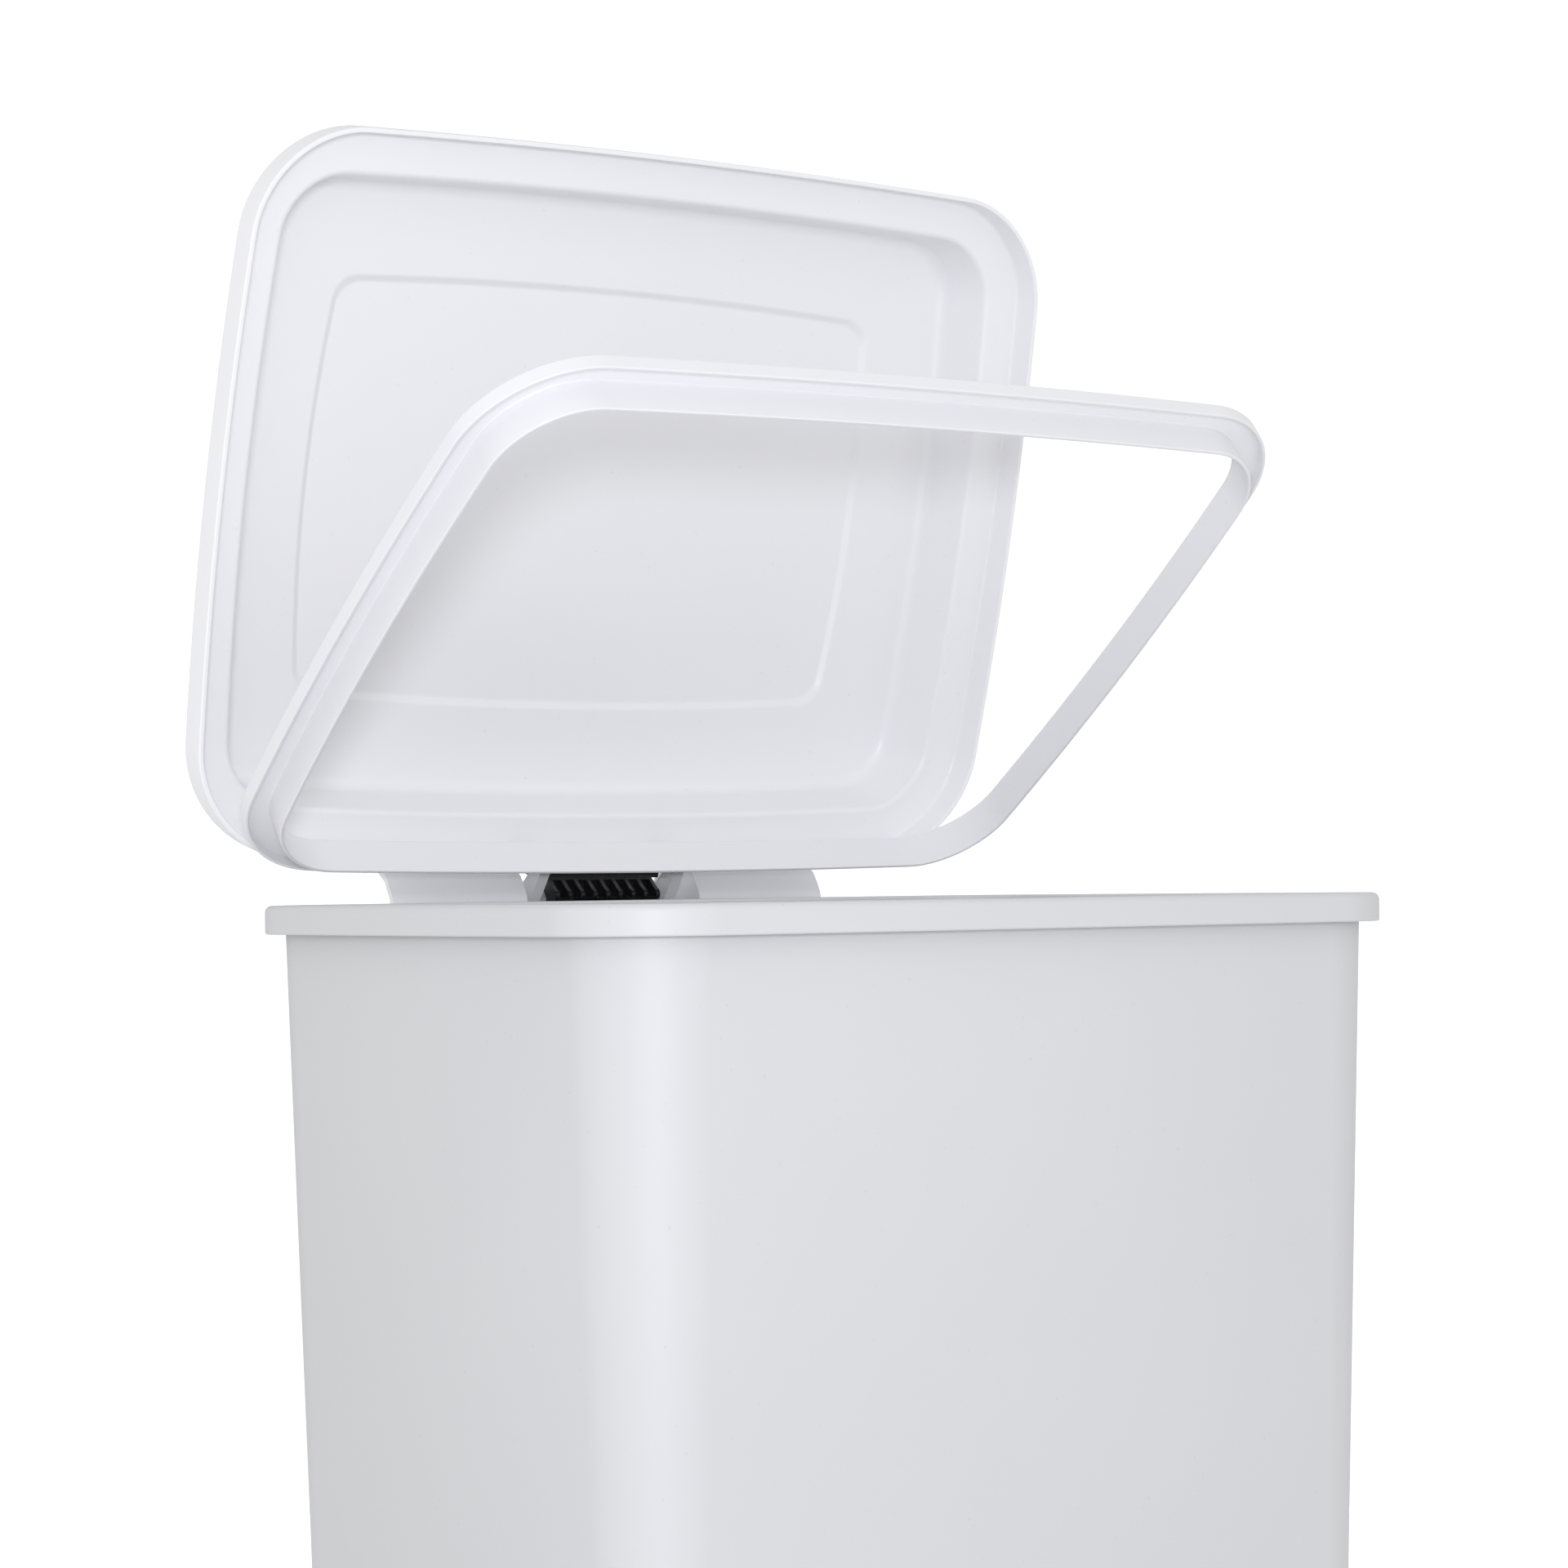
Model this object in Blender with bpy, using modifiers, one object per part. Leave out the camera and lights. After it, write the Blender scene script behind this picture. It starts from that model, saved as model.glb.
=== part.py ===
"""Hospital pedal bin: a tapered body with a rolled rim, a drop-over lid, a bag ring and a pedal lift.

It stands with the lid held open, the bag ring raised and the pedal pressed. Closing the lid turns
lid, ring and pedal back about their own empties and lowers the lift rod.
"""

import math

import bmesh
import bpy
from mathutils import Matrix, Vector

MM = 0.001

# Outlines seen from above: half width, half depth, corner radius, bow of the ends, bow of the sides
RIM = (230 * MM, 172 * MM, 51 * MM, 7 * MM, 4 * MM)
RING = (232 * MM, 174 * MM, 53 * MM, 7 * MM, 4 * MM)
LID = (237 * MM, 179 * MM, 54 * MM, 7 * MM, 5 * MM)
CORNER_STEPS = 7
SIDE_STEPS = 4
SMALLEST_RADIUS = 12 * MM

# Body
RIM_TOP = 600 * MM
RIM_DEPTH = 13.4 * MM
RIM_UNDERSIDE = RIM_TOP - RIM_DEPTH
OVERHANG = 9.3 * MM
TAPER = 0.031
WALL = 2.3 * MM
SKIRT_BOTTOM = 12.4 * MM
FLOOR_TOP = 60 * MM
FLOOR_THICKNESS = 2.5 * MM
MOUTH = 10.3 * MM
SEAT = 16 * MM
NOTCH_HEIGHT = 52 * MM
GAP = 0.3 * MM

# Hinge line shared by the lid and the ring
HINGE_Y = 204 * MM
HINGE_Z = RIM_TOP - 4.5 * MM
LID_OPEN = math.radians(76.2)
RING_OPEN = math.radians(38.2)
PIN_RADIUS = 3 * MM
PIN_HALF = 60 * MM
TOWER_HALF = 92 * MM
WING_HALF = 129 * MM
TOWER_RADIUS = 23.8 * MM
TOWER_WALL = 3 * MM
TOWER_BOTTOM = 542 * MM
WING_OUTSIDE = ((-23.8 * MM, 7 * MM), (-17.7 * MM, 17.4 * MM), (-9.3 * MM, 23 * MM))
WING_INSIDE = ((-8.2 * MM, 20.2 * MM), (-15.5 * MM, 15.3 * MM), (-20.8 * MM, 6.2 * MM))
TOWER_SCREW_X = 76 * MM
RECESS_HALF = 52 * MM
ARM_INNER = 37.6 * MM
ARM_OUTER = 43.4 * MM
KNUCKLE_RADIUS = 8.5 * MM
KNUCKLE_HALF = 22 * MM
BLOCK_HALF = 31.5 * MM
BLOCK_SCREW_X = 26 * MM
FLANGE_HALF = 36.8 * MM
FLANGE_FACE = -17.2 * MM
BOSS_FACE = -20.3 * MM
RIB_COUNT = 9
RIB_WIDTH = 2.2 * MM
NOSE_REACH = 16.7 * MM
NOSE_ANGLE = math.radians(-50)
NOSE_RADIUS = 3 * MM
NOSE_CLEARANCE = 1.5 * MM

# Base, pedal and lift
PLATE_BOTTOM = 8 * MM
PLATE_TOP = 12 * MM
FOOT_X = 150 * MM
FOOT_Y = 95 * MM
AXLE_Y = 20 * MM
AXLE_Z = 30 * MM
AXLE_RADIUS = 4 * MM
AXLE_HALF = 43 * MM
LUG_INNER = 34 * MM
LUG_OUTER = 39 * MM
HUB_HALF = 30 * MM
HUB_RADIUS = 9 * MM
BUSH_RADIUS = 6 * MM
PEDAL_SWING = math.radians(6.9)
LEVER_THICKNESS = 5 * MM
ROD_Y = 188 * MM
ROD_RADIUS = 3 * MM
ROD_TRAVEL = 2 * (ROD_Y - AXLE_Y) * math.tan(PEDAL_SWING / 2)
CHANNEL_TOP = 538 * MM
CHANNEL_BACK = 201 * MM

# The origin lies under the middle of the open bin
CENTRE_SHIFT = -6.4 * MM

WHITE = (0.86, 0.87, 0.88)
BLACK = (0.015, 0.015, 0.017)
STEEL = (0.62, 0.63, 0.64)
RUBBER = (0.03, 0.03, 0.032)


def clear_scene():
    for obj in list(bpy.data.objects):
        bpy.data.objects.remove(obj, do_unlink=True)


def new_collection(name):
    collection = bpy.data.collections.new(name)
    bpy.context.scene.collection.children.link(collection)
    return collection


def new_empty(name, parent, location, tilt=0.0):
    empty = bpy.data.objects.new(name, None)
    empty.location = location
    empty.rotation_euler = (tilt, 0, 0)
    empty.parent = parent
    PARTS.objects.link(empty)
    return empty


def new_material(name, colour, roughness, metallic=0.0):
    material = bpy.data.materials.new(name)
    material.use_nodes = True
    shader = material.node_tree.nodes["Principled BSDF"]
    shader.inputs["Base Color"].default_value = (*colour, 1)
    shader.inputs["Roughness"].default_value = roughness
    shader.inputs["Metallic"].default_value = metallic
    return material


def add_part(name, bm, parent, look):
    """Makes the mesh one named part with a material of its own."""
    mesh = bpy.data.meshes.new(name)
    bm.to_mesh(mesh)
    bm.free()
    mesh.materials.append(new_material(name + "_material", *look))
    part = bpy.data.objects.new(name, mesh)
    part.parent = parent
    PARTS.objects.link(part)
    return part


def combine(part, bm, operation):
    """Cuts the mesh out of the part, or joins it on, with a Boolean modifier."""
    name = f"{part.name}_{operation.lower()}_{len(part.modifiers)}"
    mesh = bpy.data.meshes.new(name)
    bm.to_mesh(mesh)
    bm.free()
    tool = bpy.data.objects.new(name, mesh)
    tool.parent = part.parent
    tool.hide_render = True
    tool.display_type = "WIRE"
    CUTTERS.objects.link(tool)
    modifier = part.modifiers.new(name, "BOOLEAN")
    modifier.operation = operation
    modifier.object = tool
    modifier.solver = "EXACT"


def cut(part, bm):
    combine(part, bm, "DIFFERENCE")


def join(part, bm):
    combine(part, bm, "UNION")


def soften(part, width, segments=2, angle=50):
    bevel = part.modifiers.new("soft_edges", "BEVEL")
    bevel.width = width
    bevel.segments = segments
    bevel.limit_method = "ANGLE"
    bevel.angle_limit = math.radians(angle)


def loft(rings, closed=False):
    """A skin through rings with equal point counts: capped at both ends, or closed on itself."""
    bm = bmesh.new()
    loops = [[bm.verts.new(point) for point in ring] for ring in rings]
    following = loops[1:] + loops[:1] if closed else loops[1:]
    for near, far in zip(loops, following):
        for i in range(len(near)):
            j = (i + 1) % len(near)
            bm.faces.new((near[i], near[j], far[j], far[i]))
    if not closed:
        bm.faces.new(loops[0])
        bm.faces.new(loops[-1])
    bmesh.ops.recalc_face_normals(bm, faces=bm.faces)
    return bm


def outline(shape, offset):
    """A rounded rectangle with bowed sides, drawn a distance inside the given shape."""
    half_x, half_y = shape[0] - offset, shape[1] - offset
    radius = max(shape[2] - offset, SMALLEST_RADIUS)
    bow_x, bow_y = shape[3:]
    centres = [(half_x - radius, half_y - radius), (radius - half_x, half_y - radius),
               (radius - half_x, radius - half_y), (half_x - radius, radius - half_y)]
    points = []
    for quarter, (x, y) in enumerate(centres):
        for step in range(CORNER_STEPS + 1):
            angle = (quarter + step / CORNER_STEPS) * math.pi / 2
            points.append(Vector((x + radius * math.cos(angle), y + radius * math.sin(angle))))
        end = math.pi / 2 * (quarter + 1)
        next_x, next_y = centres[(quarter + 1) % 4]
        start = points[-1]
        target = Vector((next_x + radius * math.cos(end), next_y + radius * math.sin(end)))
        points += [start.lerp(target, step / SIDE_STEPS) for step in range(1, SIDE_STEPS)]
    return [(p.x - bow_x * p.x / half_x * (p.y / half_y) ** 2,
             p.y - bow_y * p.y / half_y * (p.x / half_x) ** 2) for p in points]


def sweep(shape, profile, lift, closed=False):
    """Lofts a wall section of (distance inside the shape, height) pairs round the shape."""
    rings = [[(x, y, height + lift) for x, y in outline(shape, offset)] for offset, height in profile]
    return loft(rings, closed)


def prism(section, left, right):
    """A bar from x = left to x = right with a section of (y, z) points."""
    return loft([[(x, y, z) for y, z in section] for x in (left, right)])


def box(left, right, front, back, bottom, top):
    return prism([(front, bottom), (back, bottom), (back, top), (front, top)], left, right)


def turned(stations, start, direction=(0, 0, 1), sides=18):
    """A solid turned round an axis, from (radius, distance along the axis) stations."""
    rings = []
    for radius, along in stations:
        turns = [2 * math.pi * i / sides for i in range(sides)]
        rings.append([(radius * math.cos(t), radius * math.sin(t), along) for t in turns])
    bm = loft(rings)
    turn = Vector((0, 0, 1)).rotation_difference(Vector(direction)).to_matrix().to_4x4()
    bmesh.ops.transform(bm, matrix=Matrix.Translation(start) @ turn, verts=bm.verts)
    return bm


def turned_ring(section, start, direction=(0, 0, 1), sides=18):
    """A ring turned round an axis, from a closed section of (radius, distance along) points."""
    rings = []
    for i in range(sides):
        t = 2 * math.pi * i / sides
        rings.append([(r * math.cos(t), r * math.sin(t), along) for r, along in section])
    bm = loft(rings, closed=True)
    turn = Vector((0, 0, 1)).rotation_difference(Vector(direction)).to_matrix().to_4x4()
    bmesh.ops.transform(bm, matrix=Matrix.Translation(start) @ turn, verts=bm.verts)
    return bm


def drill(part, start, direction, radius, depth):
    cut(part, turned([(radius, -MM), (radius, depth)], start, direction))


def arc(centre_y, centre_z, radius, first, last, steps):
    """Points on an arc in the (y, z) plane, with angles in degrees from +y towards +z."""
    angles = [math.radians(first + (last - first) * i / steps) for i in range(steps + 1)]
    return [(centre_y + radius * math.cos(a), centre_z + radius * math.sin(a)) for a in angles]


def add_screw(name, start, direction, parent, length, shank=2 * MM, head=4 * MM):
    """A pan head screw whose head bears at start and whose shank runs along direction."""
    thick = 0.6 * head
    stations = [(0.6 * head, -thick), (0.9 * head, -0.75 * thick), (head, -0.4 * thick), (head, 0),
                (shank, 0), (shank, length - shank), (0.5 * shank, length)]
    return add_part(name, turned(stations, start, direction, 10), parent, (STEEL, 0.35, 1.0))


def wall_offset(height):
    """How far the body's outer wall lies inside the rim outline at a height."""
    return OVERHANG + TAPER * (RIM_UNDERSIDE - height)


def rear_wall(height, x=0):
    """The y of the body's outer rear face, which bows outwards in its middle."""
    offset = wall_offset(height)
    return RIM[1] - offset - RIM[4] * (x / (RIM[0] - offset)) ** 2


def body_shell(frame):
    lip = 2.4 * MM
    shoulder = OVERHANG - 1.3 * MM
    seat_z = RIM_TOP - SEAT
    floor_z = FLOOR_TOP - FLOOR_THICKNESS
    profile = [
        (wall_offset(floor_z) + WALL, floor_z),
        (wall_offset(SKIRT_BOTTOM) + WALL, SKIRT_BOTTOM),
        (wall_offset(SKIRT_BOTTOM), SKIRT_BOTTOM),
        (OVERHANG, RIM_UNDERSIDE),
        (shoulder, RIM_UNDERSIDE + 2 * MM),
        (shoulder, RIM_TOP - lip),
        (lip, RIM_TOP - lip),
        (lip, RIM_UNDERSIDE),
        (0.8 * MM, RIM_UNDERSIDE),
        (0, RIM_UNDERSIDE + 1.2 * MM),
        (0, RIM_TOP - 2.6 * MM),
        (0.8 * MM, RIM_TOP - 0.8 * MM),
        (2.6 * MM, RIM_TOP),
        (MOUTH - 1.2 * MM, RIM_TOP),
        (MOUTH, RIM_TOP - 1.2 * MM),
        (MOUTH, seat_z),
        (wall_offset(seat_z) + WALL, seat_z - 1.5 * MM),
        (wall_offset(FLOOR_TOP) + WALL, FLOOR_TOP + 9 * MM),
        (wall_offset(FLOOR_TOP) + WALL + 2.5 * MM, FLOOR_TOP + 2.5 * MM),
        (wall_offset(FLOOR_TOP) + WALL + 9 * MM, FLOOR_TOP),
    ]
    part = add_part("body_shell", sweep(RIM, profile, 0), frame, (WHITE, 0.28))
    for x in (-FOOT_X, FOOT_X):
        for y in (-FOOT_Y, FOOT_Y):
            post = [(7 * MM, SKIRT_BOTTOM + GAP), (7.6 * MM, floor_z + MM)]
            join(part, turned(post, (x, y, 0)))
            drill(part, (x, y, SKIRT_BOTTOM), (0, 0, 1), 2.3 * MM, 22 * MM)
    front = -rear_wall(SKIRT_BOTTOM)
    cut(part, box(-26 * MM, 26 * MM, front - 20 * MM, front + 20 * MM, 0, NOTCH_HEIGHT))
    cut(part, box(-15 * MM, 15 * MM, -front - 20 * MM, -front + 20 * MM, 0, NOTCH_HEIGHT))
    for x, height in channel_screws():
        drill(part, (x, rear_wall(height) + 3 * MM, height), (0, -1, 0), 2.1 * MM, 9 * MM)
    for x, height in tower_screws():
        drill(part, (x, rear_wall(height) + 3 * MM, height), (0, -1, 0), 2.3 * MM, 9 * MM)


def channel_screws():
    return [(x * MM, z * MM) for x in (-28, 28) for z in (120, 480)]


def tower_screws():
    return [(x, z * MM) for x in (-TOWER_SCREW_X, TOWER_SCREW_X) for z in (553, 573)]


def base_plate(frame):
    edge = wall_offset(SKIRT_BOTTOM)
    profile = [(edge + MM, PLATE_BOTTOM), (edge, PLATE_BOTTOM + MM), (edge, PLATE_TOP)]
    part = add_part("base_plate", sweep(RIM, profile, 0), frame, (BLACK, 0.5))
    lug = [(AXLE_Y - 14 * MM, PLATE_TOP - MM), (AXLE_Y + 14 * MM, PLATE_TOP - MM)]
    lug += arc(AXLE_Y, AXLE_Z, 10 * MM, 0, 180, 8)
    for side in (-1, 1):
        join(part, prism(lug, side * LUG_INNER, side * LUG_OUTER))
    drill(part, (-AXLE_HALF, AXLE_Y, AXLE_Z), (1, 0, 0), AXLE_RADIUS + GAP, 2 * AXLE_HALF)
    for x in (-FOOT_X, FOOT_X):
        for y in (-FOOT_Y, FOOT_Y):
            drill(part, (x, y, PLATE_BOTTOM), (0, 0, 1), 2.3 * MM, 6 * MM)


def feet(frame):
    seat = 3.6 * MM
    top = PLATE_BOTTOM - GAP
    section = [(2.4 * MM, seat), (5.2 * MM, seat), (5.2 * MM, 0), (15 * MM, 0), (17 * MM, 1.4 * MM),
               (17 * MM, top), (2.4 * MM, top)]
    for side, x in (("left", -FOOT_X), ("right", FOOT_X)):
        for end, y in (("front", -FOOT_Y), ("rear", FOOT_Y)):
            add_part(f"foot_{end}_{side}", turned_ring(section, (x, y, 0)), frame, (RUBBER, 0.85))
            add_screw(f"foot_screw_{end}_{side}", (x, y, seat - GAP), (0, 0, 1), frame, 26 * MM)


def tower_section(wall, bottom):
    """The hinge tower's outline, drawn a wall thickness inside its outer faces."""
    front = rear_wall(RIM_UNDERSIDE) + GAP + wall
    ledge = RIM_UNDERSIDE - 2 * MM - wall
    radius = TOWER_RADIUS - wall
    return [(front, bottom), (front, ledge), (HINGE_Y - radius, ledge),
            *arc(HINGE_Y, HINGE_Z, radius, 180, 0, 12), (HINGE_Y + radius, bottom)]


def wing_section():
    """A thin upright wall that hooks over the ledge and leans back inside the lid's sweep."""
    front, ledge = rear_wall(RIM_UNDERSIDE) + GAP, RIM_UNDERSIDE - 2 * MM
    face = HINGE_Y - TOWER_RADIUS
    bends = [(HINGE_Y + y, HINGE_Z + z) for y, z in WING_OUTSIDE + WING_INSIDE]
    return [(front, TOWER_BOTTOM), (front, ledge), (face, ledge), *bends,
            (face + TOWER_WALL, ledge - TOWER_WALL), (front + TOWER_WALL, ledge - TOWER_WALL),
            (front + TOWER_WALL, TOWER_BOTTOM)]


def hinge_tower(frame):
    """A hollow housing behind the rim with thin wings, and a recess in its middle for the hinges."""
    outer = prism(tower_section(0, TOWER_BOTTOM), -TOWER_HALF, TOWER_HALF)
    part = add_part("hinge_tower", outer, frame, (WHITE, 0.3))
    soften(part, 5 * MM, 3)
    join(part, prism(wing_section(), -WING_HALF, WING_HALF))
    inner = tower_section(TOWER_WALL, TOWER_BOTTOM - 10 * MM)
    for side in (-1, 1):
        cut(part, prism(inner, side * (RECESS_HALF + TOWER_WALL), side * (TOWER_HALF - TOWER_WALL)))
    recess_back = HINGE_Y + TOWER_RADIUS - TOWER_WALL
    cut(part, box(-RECESS_HALF, RECESS_HALF, rear_wall(TOWER_BOTTOM) - 9 * MM, recess_back,
                  TOWER_BOTTOM + 6 * MM, RIM_TOP + 40 * MM))
    drill(part, (-PIN_HALF, HINGE_Y, HINGE_Z), (1, 0, 0), PIN_RADIUS + GAP, 2 * PIN_HALF)
    drill(part, (0, ROD_Y, TOWER_BOTTOM), (0, 0, 1), ROD_RADIUS + 2.3 * MM, 12 * MM)
    for x, height in tower_screws():
        drill(part, (x, rear_wall(height) - 5 * MM, height), (0, 1, 0), 2.3 * MM, 14 * MM)
        start = (x, rear_wall(height, x) - WALL - 1.5 * GAP, height)
        add_screw(f"tower_screw_{screw_place(x, height, 563 * MM)}", start, (0, 1, 0), frame, 12 * MM)


def screw_place(x, height, middle):
    return ("upper" if height > middle else "lower") + ("_left" if x < 0 else "_right")


def hinge_pin(frame):
    stations = [(PIN_RADIUS - 0.6 * MM, -PIN_HALF), (PIN_RADIUS, -PIN_HALF + 0.6 * MM),
                (PIN_RADIUS, PIN_HALF - 0.6 * MM), (PIN_RADIUS - 0.6 * MM, PIN_HALF)]
    centre = (0, HINGE_Y, HINGE_Z)
    add_part("hinge_pin", turned(stations, centre, (1, 0, 0), 32), frame, (STEEL, 0.3, 1.0))
    clip_pair("pin_clip", centre, RECESS_HALF + TOWER_WALL + GAP, PIN_RADIUS, frame)


def clip_pair(name, centre, distance, radius, parent):
    """Push-on retaining washers at both ends of a pin."""
    section = [(radius + GAP, 0), (radius + 4 * MM, 0), (radius + 4 * MM, 0.9 * MM),
               (radius + 1.2 * MM, 1.6 * MM), (radius + GAP, 1.6 * MM)]
    for side, sign in (("left", -1), ("right", 1)):
        start = (centre[0] + sign * distance, centre[1], centre[2])
        add_part(f"{name}_{side}", turned_ring(section, start, (sign, 0, 0)), parent, (STEEL, 0.4, 1.0))


def rod_channel(frame):
    """A cover down the rear wall for the lift rod, with a flange on each side."""
    bottom, top = SKIRT_BOTTOM + 2 * MM, CHANNEL_TOP
    flange = 2.5 * MM
    near, far = rear_wall(bottom) + GAP, rear_wall(top) + GAP
    trunk = [(near, bottom), (far, top), (CHANNEL_BACK, top), (CHANNEL_BACK, bottom)]
    part = add_part("rod_channel", prism(trunk, -22 * MM, 22 * MM), frame, (WHITE, 0.3))
    soften(part, 2 * MM, 2, 80)
    wing = [(near, bottom), (far, top), (far + flange, top), (near + flange, bottom)]
    join(part, prism(wing, -34 * MM, 34 * MM))
    inside = [(near - 4 * MM, bottom - 4 * MM), (far - 4 * MM, top + 4 * MM),
              (CHANNEL_BACK - flange, top + 4 * MM), (CHANNEL_BACK - flange, bottom - 4 * MM)]
    cut(part, prism(inside, -19.5 * MM, 19.5 * MM))
    for x, height in channel_screws():
        face = rear_wall(height) + GAP + flange
        drill(part, (x, face + 2 * MM, height), (0, -1, 0), 2.1 * MM, 9 * MM)
        place = screw_place(x, height, 300 * MM)
        start = (x, face + 1.3 * GAP, height)
        add_screw(f"channel_screw_{place}", start, (0, -1, 0), frame, 7 * MM, 1.75 * MM, 3.5 * MM)


def rod_guide(frame):
    bore = ROD_RADIUS + GAP
    collar = ROD_RADIUS + 2 * MM
    shelf = TOWER_BOTTOM + 6 * MM + GAP
    section = [(bore, TOWER_BOTTOM - 2 * MM), (collar, TOWER_BOTTOM - 2 * MM), (collar, shelf),
               (collar + 3 * MM, shelf), (collar + 3 * MM, shelf + 2.2 * MM), (bore, shelf + 2.2 * MM)]
    add_part("rod_guide", turned_ring(section, (0, ROD_Y, 0)), frame, (BLACK, 0.5))


def pedal_axle(frame):
    stations = [(AXLE_RADIUS - 0.6 * MM, -AXLE_HALF), (AXLE_RADIUS, 0.6 * MM - AXLE_HALF),
                (AXLE_RADIUS, AXLE_HALF - 0.6 * MM), (AXLE_RADIUS - 0.6 * MM, AXLE_HALF)]
    centre = (0, AXLE_Y, AXLE_Z)
    add_part("pedal_axle", turned(stations, centre, (1, 0, 0), 32), frame, (STEEL, 0.3, 1.0))
    clip_pair("axle_clip", centre, LUG_OUTER + GAP, AXLE_RADIUS, frame)


def lid_shell(hinge):
    """The lid in its closed place, with its heights measured from the rim's top."""
    profile = [(offset * MM, height * MM) for offset, height in (
        (76, 43.0), (73, 42.2), (71, 40.4), (32, 38.6), (27.5, 36.8), (25.8, 33), (23, 8), (21, 5.4),
        (4.5, 5.0), (2.8, 3.6), (2.4, -9.4), (1.8, -10), (0.6, -10), (0, -9.4), (0, 3.5), (0.8, 6.2),
        (2.8, 7.3), (19.5, 7.7), (20.8, 9), (23.4, 33.5), (25.8, 38.6), (31, 41), (70, 42.8),
        (72.5, 44.8), (75.5, 45.4))]
    bm = sweep(LID, profile, RIM_TOP - HINGE_Z)
    bmesh.ops.translate(bm, vec=(0, -HINGE_Y, 0), verts=bm.verts)
    part = add_part("lid_shell", bm, hinge, (WHITE, 0.2))
    wall = LID[1] - HINGE_Y
    join(part, box(0.2 * MM - FLANGE_HALF, FLANGE_HALF - 0.2 * MM, wall - 1.2 * MM, BOSS_FACE,
                   -4 * MM, 10.5 * MM))
    for side in (-1, 1):
        cut(part, box(side * (FLANGE_HALF + 0.2 * MM), side * (ARM_OUTER + 2.6 * MM),
                      wall - 4 * MM, wall + 4 * MM, -20 * MM, 9 * MM))
    for x, height in block_screws():
        drill(part, (x, BOSS_FACE, height), (0, -1, 0), 1.9 * MM, 6.2 * MM)



def block_screws():
    return [(x, 7 * MM) for x in (-BLOCK_SCREW_X, BLOCK_SCREW_X)]


def hinge_block(hinge):
    """The ribbed hinge piece screwed to the lid: a knuckle on the pin and a nose for the lift rod."""
    nose_y = -NOSE_REACH * math.cos(NOSE_ANGLE)
    nose_z = NOSE_REACH * math.sin(NOSE_ANGLE)
    root = FLANGE_FACE - 2 * MM
    flange = box(-FLANGE_HALF, FLANGE_HALF, BOSS_FACE + GAP, FLANGE_FACE, -4 * MM, 10.5 * MM)
    part = add_part("hinge_block", flange, hinge, (BLACK, 0.4))
    apron = [(root, -3.4 * MM), (root, 0.6 * MM), (-13 * MM, -1.5 * MM), (-7.5 * MM, -7 * MM),
             *arc(nose_y, nose_z, NOSE_RADIUS, -10, -180, 8)]
    join(part, prism(apron, -BLOCK_HALF, BLOCK_HALF))
    knuckle = [(root, -3 * MM), (root, 3.2 * MM), *arc(0, 0, KNUCKLE_RADIUS, 150, -130, 16)]
    join(part, prism(knuckle, -KNUCKLE_HALF, KNUCKLE_HALF))
    groove = [(FLANGE_FACE + 0.1 * MM, -3.5 * MM), (-12.5 * MM, -5.5 * MM), (-10 * MM, -9 * MM),
              (-9.5 * MM, -20 * MM), (FLANGE_FACE + 0.1 * MM, -20 * MM)]
    pitch = (2 * BLOCK_HALF - RIB_WIDTH) / (RIB_COUNT - 1)
    for i in range(RIB_COUNT - 1):
        left = -BLOCK_HALF + RIB_WIDTH + i * pitch
        cut(part, prism(groove, left, left + pitch - RIB_WIDTH))
    drill(part, (-PIN_HALF, 0, 0), (1, 0, 0), PIN_RADIUS + GAP, 2 * PIN_HALF)
    for side, (x, height) in zip(("left", "right"), block_screws()):
        drill(part, (x, FLANGE_FACE, height), (0, -1, 0), 1.9 * MM, 7 * MM)
        start = (x, FLANGE_FACE + GAP, height)
        add_screw(f"block_screw_{side}", start, (0, -1, 0), hinge, 8.3 * MM, 1.5 * MM, 3 * MM)


def bag_ring(hinge):
    """The ring that holds the bag over the rim, with two arms back to the hinge pin."""
    profile = [(offset * MM, height * MM) for offset, height in (
        (0, 3), (0.4, 3.8), (1.2, 4), (13.6, 4), (14.8, 2.8), (14.8, -15.2), (14.4, -15.6),
        (13.4, -15.6), (13, -15.2), (13, 1.6), (1.8, 1.6), (1.6, -3.6), (1.2, -4), (0.4, -4),
        (0, -3.6))]
    bm = sweep(RING, profile, RIM_TOP - HINGE_Z, closed=True)
    bmesh.ops.translate(bm, vec=(0, -HINGE_Y, 0), verts=bm.verts)
    part = add_part("bag_ring", bm, hinge, (WHITE, 0.22))
    root = RING[1] - HINGE_Y - 1.1 * MM
    arm = [(root, 1.2 * MM), (root, 7.4 * MM), *arc(0, 0, 8 * MM, 95, -130, 12)]
    for side in (-1, 1):
        join(part, prism(arm, side * ARM_INNER, side * ARM_OUTER))
    drill(part, (-PIN_HALF, 0, 0), (1, 0, 0), PIN_RADIUS + GAP, 2 * PIN_HALF)


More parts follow.
